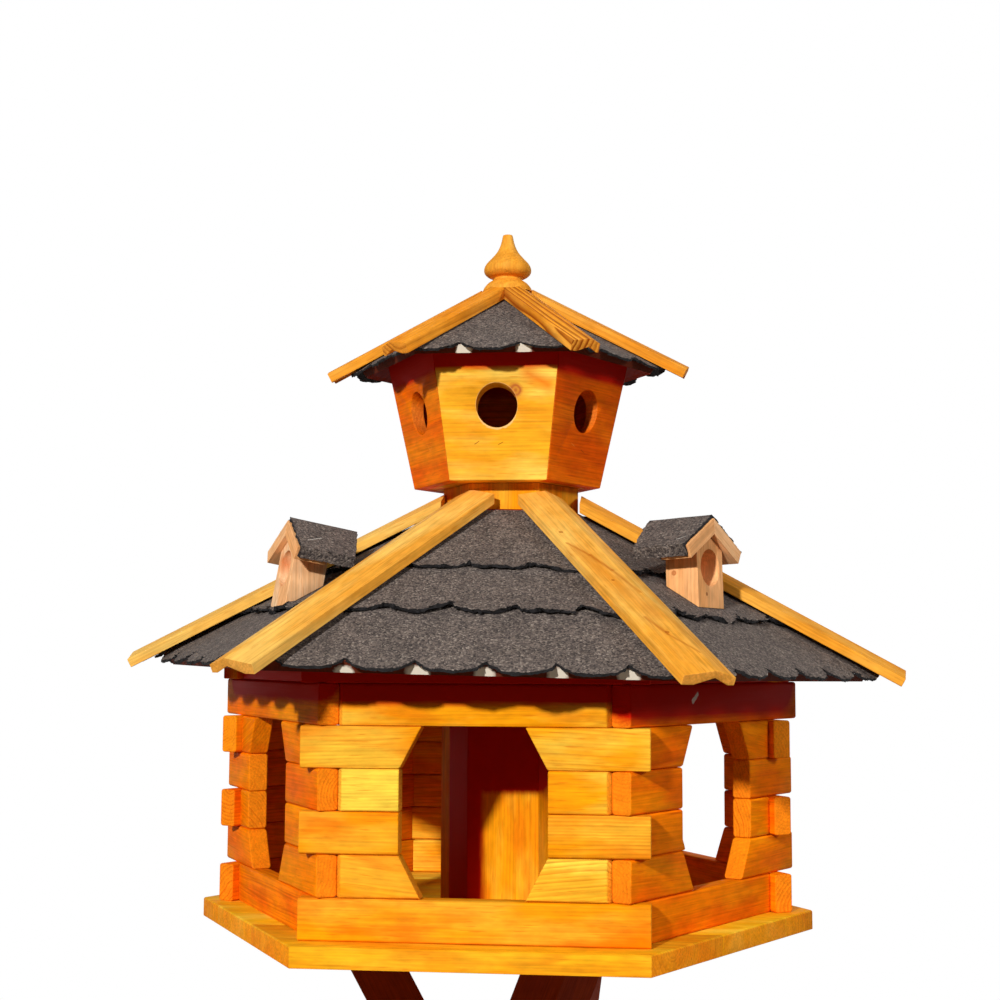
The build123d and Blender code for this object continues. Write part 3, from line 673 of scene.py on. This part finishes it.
def felt_sheets(mesh):
    """Lists the sheets of a felt mesh.

    Each is its faces, its direction outwards from the roof's axis, how far out it reaches, and its
    way downhill for each metre outwards."""
    sheets = []
    for faces in islands(mesh):
        middle = sum((face.calc_center_median() for face in faces), Vector()) / len(faces)
        outward = Vector((middle.x, middle.y, 0)).normalized()
        reach = max(vert.co.dot(outward) for face in faces for vert in face.verts)
        top = max(faces, key=lambda face: face.calc_area() * face.normal.z).normal
        downhill = outward - top * outward.dot(top)
        sheets.append((faces, outward, reach, downhill / downhill.dot(outward)))
    return sheets


def felt_piece(node, ragged, curl=0.0, droop=0.0, droop_from=0.0, flatten=0.0, back=0.0, slide=0.0, lift=0.0):
    """A node's felt with ragged edges, from measures in mm.

    The lower edges of the upper courses curl up, and the eave's droops beyond a distance from the
    roof's axis. Flatten is the share that the scallops lose of their depth, back how far they are
    cut short, and slide how far the eave's are laid to the right. Lift is how far the lowest
    course rises to meet the hip boards."""
    mesh = welded(node)
    low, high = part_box(node)
    granule_layer = mesh.faces.layers.float.new("granules")
    rim_layer = mesh.faces.layers.float.new("rim")
    for face in mesh.faces:
        narrow = 2 * face.calc_area() / face.calc_perimeter() < RIM_WIDTH
        arm = face.calc_center_median() - Vector(((low.x + high.x) / 2, (low.y + high.y) / 2, low.z))
        outer = face.normal.dot(arm) > 0 if "dormer" in node else face.normal.z > -0.3
        face[rim_layer] = 1.0 if narrow else 0.0
        face[granule_layer] = 1.0 if outer and not narrow else 0.0
    cut_to_grid(mesh, low, high)
    sheets = felt_sheets(mesh)
    furthest = max(reach for _, _, reach, _ in sheets)
    for faces, outward, reach, downhill in sheets:
        # A dictionary keeps its order, so the nearest of two equals is the same one each time
        rims = {}
        lower = {}
        for face in faces:
            if face[rim_layer] > 0.5:
                rims.update(dict.fromkeys(face.verts))
                if face.normal.dot(outward) > 0.2:
                    lower.update(dict.fromkeys(face.verts))
        edge_tree = kdtree.KDTree(len(lower))
        for number, vert in enumerate(lower):
            edge_tree.insert(vert.co, number)
        edge_tree.balance()
        is_eave = reach > furthest - COURSE_STEP
        sideways = Vector((0, 0, 1)).cross(outward)
        moves = {}
        for vert in {vert for face in faces for vert in face.verts}:
            point = vert.co.copy()
            move = Vector((0, 0, SHEET_WAVE * noise.noise(point * SHEET_WAVES)))
            if vert in (rims if "dormer" in node else lower):
                rough = noise.noise_vector(point * TEAR_WAVES) + 0.8 * noise.noise_vector(point * SHRED_WAVES)
                move += Vector((rough.x, rough.y, 0.5 * rough.z)) * (0.6 if is_eave else 1.0) * ragged * MM
            if lower:
                rim_point, _, gap = edge_tree.find(point)
                room = point.dot(outward) * tan(radians(30)) - abs(point.dot(sideways))
                fade = min(1.0, max(0.0, room / HIP_FADE - 0.6))
                creep = max(0.0, 1 - gap / CREEP_WIDTH) ** 2
                creep_by = flatten * (reach - rim_point.dot(outward)) - back * MM
                move += downhill * creep_by * creep * min(1.0, fade + 0.3)
                if is_eave:
                    move += sideways * slide * MM * creep * fade
                    move.z += lift * MM * min(1.0, max(0.0, 1.6 - room / HIP_REACH))
                elif curl:
                    near = max(0.0, 1 - gap / CURL_WIDTH)
                    move.z += curl * MM * near * near * fade * (0.75 + 1.2 * noise.noise(point * CURL_WAVES))
            past = point.dot(outward) - droop_from * MM
            if droop and is_eave and past > 0:
                move.z -= droop * MM * min(past / DROOP_WIDTH, 1.5) ** 2
            moves[vert] = move
        for vert, move in moves.items():
            vert.co += move
    return show(mesh, "dressed_" + node, felt_stuff, "mineral_felt", node)


for side_name in SIDES:
    in_front = side_name == "front"
    felt_piece(
        side_name + "_felt", curl=2.8, droop=0.8, droop_from=297, flatten=0.45, back=2.6,
        slide=5.0 if in_front else 0.0, ragged=3.2 if in_front else 4.5, lift=2.8,
    )

# Hip boards: planed planks with a low ridge and a groove below, nailed down over the joints
# between the felted faces. Their ends are cut square, and their stain is the thinnest.
HIP_STAIN = ("#f4a93a", "#cc7416", "#ea921c", "#fdc964", "#f0a445")
HIPS = ("front_right", "right", "back_right", "back_left", "left", "front_left")
KNOT_BROWN = "#a8540e"
STREAK_BROWN = "#b4560c"
HIP_BRANCH = (0.1, -0.48, 0.87)
HIP_KNOTS = (
    ((0.0605, -0.1389, 1.1420), 2.2, HIP_BRANCH, KNOT_BROWN),
    ((0.1107, -0.2148, 1.0945), 1.6, HIP_BRANCH, KNOT_BROWN),
    ((0.1570, -0.2881, 1.0489), 2.0, HIP_BRANCH, KNOT_BROWN),
)
HIP_STREAKS = (
    ((0.0673, -0.1584, 1.1305), (0.0889, -0.1756, 1.1185), 4.0, STREAK_BROWN, 0.7),
    ((0.0889, -0.1756, 1.1185), (0.1092, -0.1977, 1.1040), 5.0, STREAK_BROWN, 0.75),
    ((0.1092, -0.1977, 1.1040), (0.1341, -0.2297, 1.0836), 4.0, STREAK_BROWN, 0.6),
    ((0.1389, -0.2691, 1.0614), (0.1578, -0.2910, 1.0472), 4.0, STREAK_BROWN, 0.6),
    ((0.1578, -0.2910, 1.0472), (0.1830, -0.3119, 1.0328), 3.0, STREAK_BROWN, 0.6),
    ((0.0740, -0.1660, 1.1250), (0.1480, -0.2640, 1.0640), 20.0, "#c46a12", 0.4),
)
hip_stain = stained_pine("stained_hip_boards", *HIP_STAIN, ring=4.0, figure=0.35)
knotty_stain = stained_pine(
    "stained_knotty_hip_board", *HIP_STAIN, ring=4.6, figure=0.3, knots=HIP_KNOTS, marks=HIP_STREAKS
)


def left_hip(middle):
    """The character of the hip boards on the left, of which the outermost is the palest."""
    return (-1.0, 0.15) if middle.x < -150 * MM and abs(middle.y) < 50 * MM else (-0.1, 0.1)


for hip_name in HIPS:
    board_piece(
        "hip_board_" + hip_name, knotty_stain if hip_name == "front_right" else hip_stain, "glazed_pine",
        character=left_hip if "left" in hip_name else None,
    )

# Dormers: little gabled blocks of pale pine with a blind hole, two roof boards and a strip of
# felt folded over them. They are left almost unstained.
DORMER_KNOTS = (
    ((0.1627, -0.1207, 1.1054), 2.6, (-0.5, -0.87, 0.0), "#b5622c"),
    ((0.1925, -0.1194, 1.0863), 1.8, (0.87, -0.5, 0.0), "#7a3a18"),
)
DORMER_MARKS = (((-0.2077, -0.0995, 1.1193), (-0.2060, -0.0970, 1.1150), 16.0, "#d86a24", 0.7),)
pale_wood = stained_pine(
    "clear_coated_pine", "#fdc086", "#d48a4c", "#f2aa68", "#ffd6a8", "#f0ac70", ring=4.2, figure=0.4,
    knots=DORMER_KNOTS, marks=DORMER_MARKS,
)
for dormer_name in ("right", "back", "left"):
    board_piece(dormer_name + "_dormer_body", pale_wood, "pale_pine", ease=0.5, grain=(0, 0, 1))
    board_piece(dormer_name + "_dormer_roof", pale_wood, "pale_pine", ease=0.5)
    felt_piece(dormer_name + "_dormer_felt", ragged=2.2)

# Dovecote: six pine boards that lean out, mitred at the corners, three with a drilled entry hole.
# The drill tore the fibres at the front hole, and the boards have short scratches below the holes.
FRONT_STAIN = ("#fab022", "#d87410", "#ee860c", "#ffdc62", "#f29a30")
# The slanting walls take a redder, deeper copy of the stain, which is painted shade, as they get less light
# than the front
DOVECOTE_SIDE_SHADE_STAIN = ("#fa6e00", "#c03c00", "#dc4a00", "#ff8c10", "#e8802c")
DOVECOTE_X = -4 * MM
DOVECOTE_DISTANCE = 105.1 * MM
DOVECOTE_EAVE_HEIGHT = 1.3185
DENT_BROWN = "#5a2404"
RUBBED_STAIN = "#f8a050"
FRONT_BORE = ((-0.0040, -0.0951, 1.2669), (0, -0.982, 0.191), 19.75, 1.6, "#f8c884")
FRONT_KNOT = ((0.0142, -0.0979, 1.2805), 7.0, (0, -0.98, -0.19), "#b9602c")
FRONT_MARKS = (
    ((0.0260, -0.1005, 1.2960), (0.0450, -0.0985, 1.2850), 17.0, "#e26a08", 0.75),
    ((-0.0255, -0.0882, 1.2304), (-0.0215, -0.0886, 1.2330), 1.1, DENT_BROWN, 0.9),
    ((-0.0030, -0.0880, 1.2296), (0.0015, -0.0884, 1.2322), 1.1, DENT_BROWN, 0.9),
)
SIDE_MARKS = (
    ((-0.0790, -0.0480, 1.2400), (-0.0700, -0.0600, 1.2200), 0.9, RUBBED_STAIN, 0.7),
    ((-0.0800, -0.0480, 1.2230), (-0.0690, -0.0620, 1.2340), 0.9, RUBBED_STAIN, 0.6),
    ((0.0640, -0.0590, 1.2350), (0.0690, -0.0510, 1.2310), 0.9, RUBBED_STAIN, 0.6),
    ((0.0730, -0.0420, 1.2300), (0.0770, -0.0350, 1.2265), 0.9, DENT_BROWN, 0.6),
)
for side, side_name in enumerate(SIDES):
    in_front = side_name == "front"
    # Each dovecote wall carries a strip of painted shade under its little roof
    dovecote_eave_shade = eave_painted_shade(side, DOVECOTE_X, DOVECOTE_DISTANCE, DOVECOTE_EAVE_HEIGHT, 33 if in_front else 40)
    marks = {"front": FRONT_MARKS, "back": ()}.get(side_name, SIDE_MARKS)
    wall_stain = stained_pine(
        "stained_dovecote_" + side_name, *(FRONT_STAIN if side_name in ("front", "back") else DOVECOTE_SIDE_SHADE_STAIN),
        ring=3.4, figure=0.3, knots=(FRONT_KNOT,) if in_front else (), marks=(*marks, dovecote_eave_shade),
        rims=(FRONT_BORE,) if in_front else (),
    )
    bearing = radians(-90 + 60 * side)
    board_piece(
        "dovecote_" + side_name + "_wall", wall_stain, "glazed_pine", ease=0.7,
        grain=(-sin(bearing), cos(bearing), 0), pith=(20, 60),
    )
floor_stain = stained_pine("stained_floor_board", *ORANGE_STAIN, ring=3.0, figure=0.25)
board_piece("dovecote_floor", floor_stain, "glazed_pine", ease=0.5, grain=(1, 0, 0))

# Dovecote roof: a thin deck, one course of felt and six small hip boards. The front right board
# was sawn near the heart, and its growth rings show as strong stripes.
def small_hip(middle):
    """The character of each small hip board."""
    return (0.3, 1.0) if middle.x > 0 and middle.y < -50 * MM else (0.4, 0.25)


deck_piece("small_roof_deck", 100 * MM, 5 * MM)
felt_piece("small_roof_felt", droop=1.0, droop_from=125, flatten=0.08, back=1.0, ragged=3.6)
small_hip_stain = stained_pine(
    "stained_small_hip_boards", "#f8a430", "#a04a08", "#e88612", "#fdc058", "#ee9a34", ring=4.4, figure=0.95
)
board_piece("small_hip_boards", small_hip_stain, "glazed_pine", ease=0.6, character=small_hip)

# Finial: one turning of pine with a domed collar, a waist and an onion-shaped knob. It plugs the
# hole where the small hip boards meet.
# Its radius and the drop from its tip in mm, from the tip down
FINIAL_PROFILE = (
    (0.0, 0.0), (4.0, 0.0), (5.1, 1.2), (6.0, 5.5), (7.9, 12.0), (11.2, 18.5), (16.6, 25.0), (21.6, 30.5),
    (23.9, 35.5), (23.3, 40.0), (19.6, 43.4), (15.2, 45.0), (14.2, 46.3), (15.8, 47.9), (20.2, 51.0),
    (23.9, 55.5), (25.4, 59.8),
)
PLUG_RADIUS = 23 * MM
LATHE_STEPS = 72
CURVE_STEPS = 6


def smooth_through(points, steps):
    """Points on a smooth curve through given points, with some steps from each to the next."""
    whole = [Vector(point) for point in points]
    made = []
    for number in range(len(whole) - 1):
        before = whole[max(number - 1, 0)]
        start, stop = whole[number], whole[number + 1]
        after = whole[min(number + 2, len(whole) - 1)]
        for step in range(steps):
            t = step / steps
            made.append(
                0.5 * (2 * start + (stop - before) * t + (2 * before - 5 * start + 4 * stop - after) * t * t
                       + (3 * start - before - 3 * stop + after) * t ** 3)
            )
    return made + [whole[-1]]


low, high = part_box("finial")
axis_x = (low.x + high.x) / 2
axis_y = (low.y + high.y) / 2
profile = smooth_through(FINIAL_PROFILE, CURVE_STEPS)
outline = [Vector((radius * MM, high.z - drop * MM)) for radius, drop in profile]
outline += [Vector((PLUG_RADIUS, outline[-1].y)), Vector((PLUG_RADIUS, low.z)), Vector((0, low.z))]
turns = [2 * pi * step / LATHE_STEPS for step in range(LATHE_STEPS)]
finial = bmesh.new()
rounds = []
for point in outline:
    if point.x < 0.01 * MM:
        places = [(axis_x, axis_y, point.y)]
    else:
        places = [(axis_x + point.x * cos(turn), axis_y + point.x * sin(turn), point.y) for turn in turns]
    rounds.append([finial.verts.new(place) for place in places])
for upper, lower in zip(rounds, rounds[1:]):
    for step in range(LATHE_STEPS):
        after = (step + 1) % LATHE_STEPS
        if len(upper) == 1:
            finial.faces.new((upper[0], lower[step], lower[after]))
        elif len(lower) == 1:
            finial.faces.new((upper[step], lower[0], upper[after]))
        else:
            finial.faces.new((upper[step], lower[step], lower[after], upper[after]))
lay_grain(finial, "finial", (0, 0, 1), lambda middle: (0.3, 0.5), (6, 9))
finial_stain = stained_pine("stained_turned_pine", *HIP_STAIN, ring=3.4, figure=0.4)
show(finial, "dressed_finial", finial_stain, "glazed_pine", "finial")
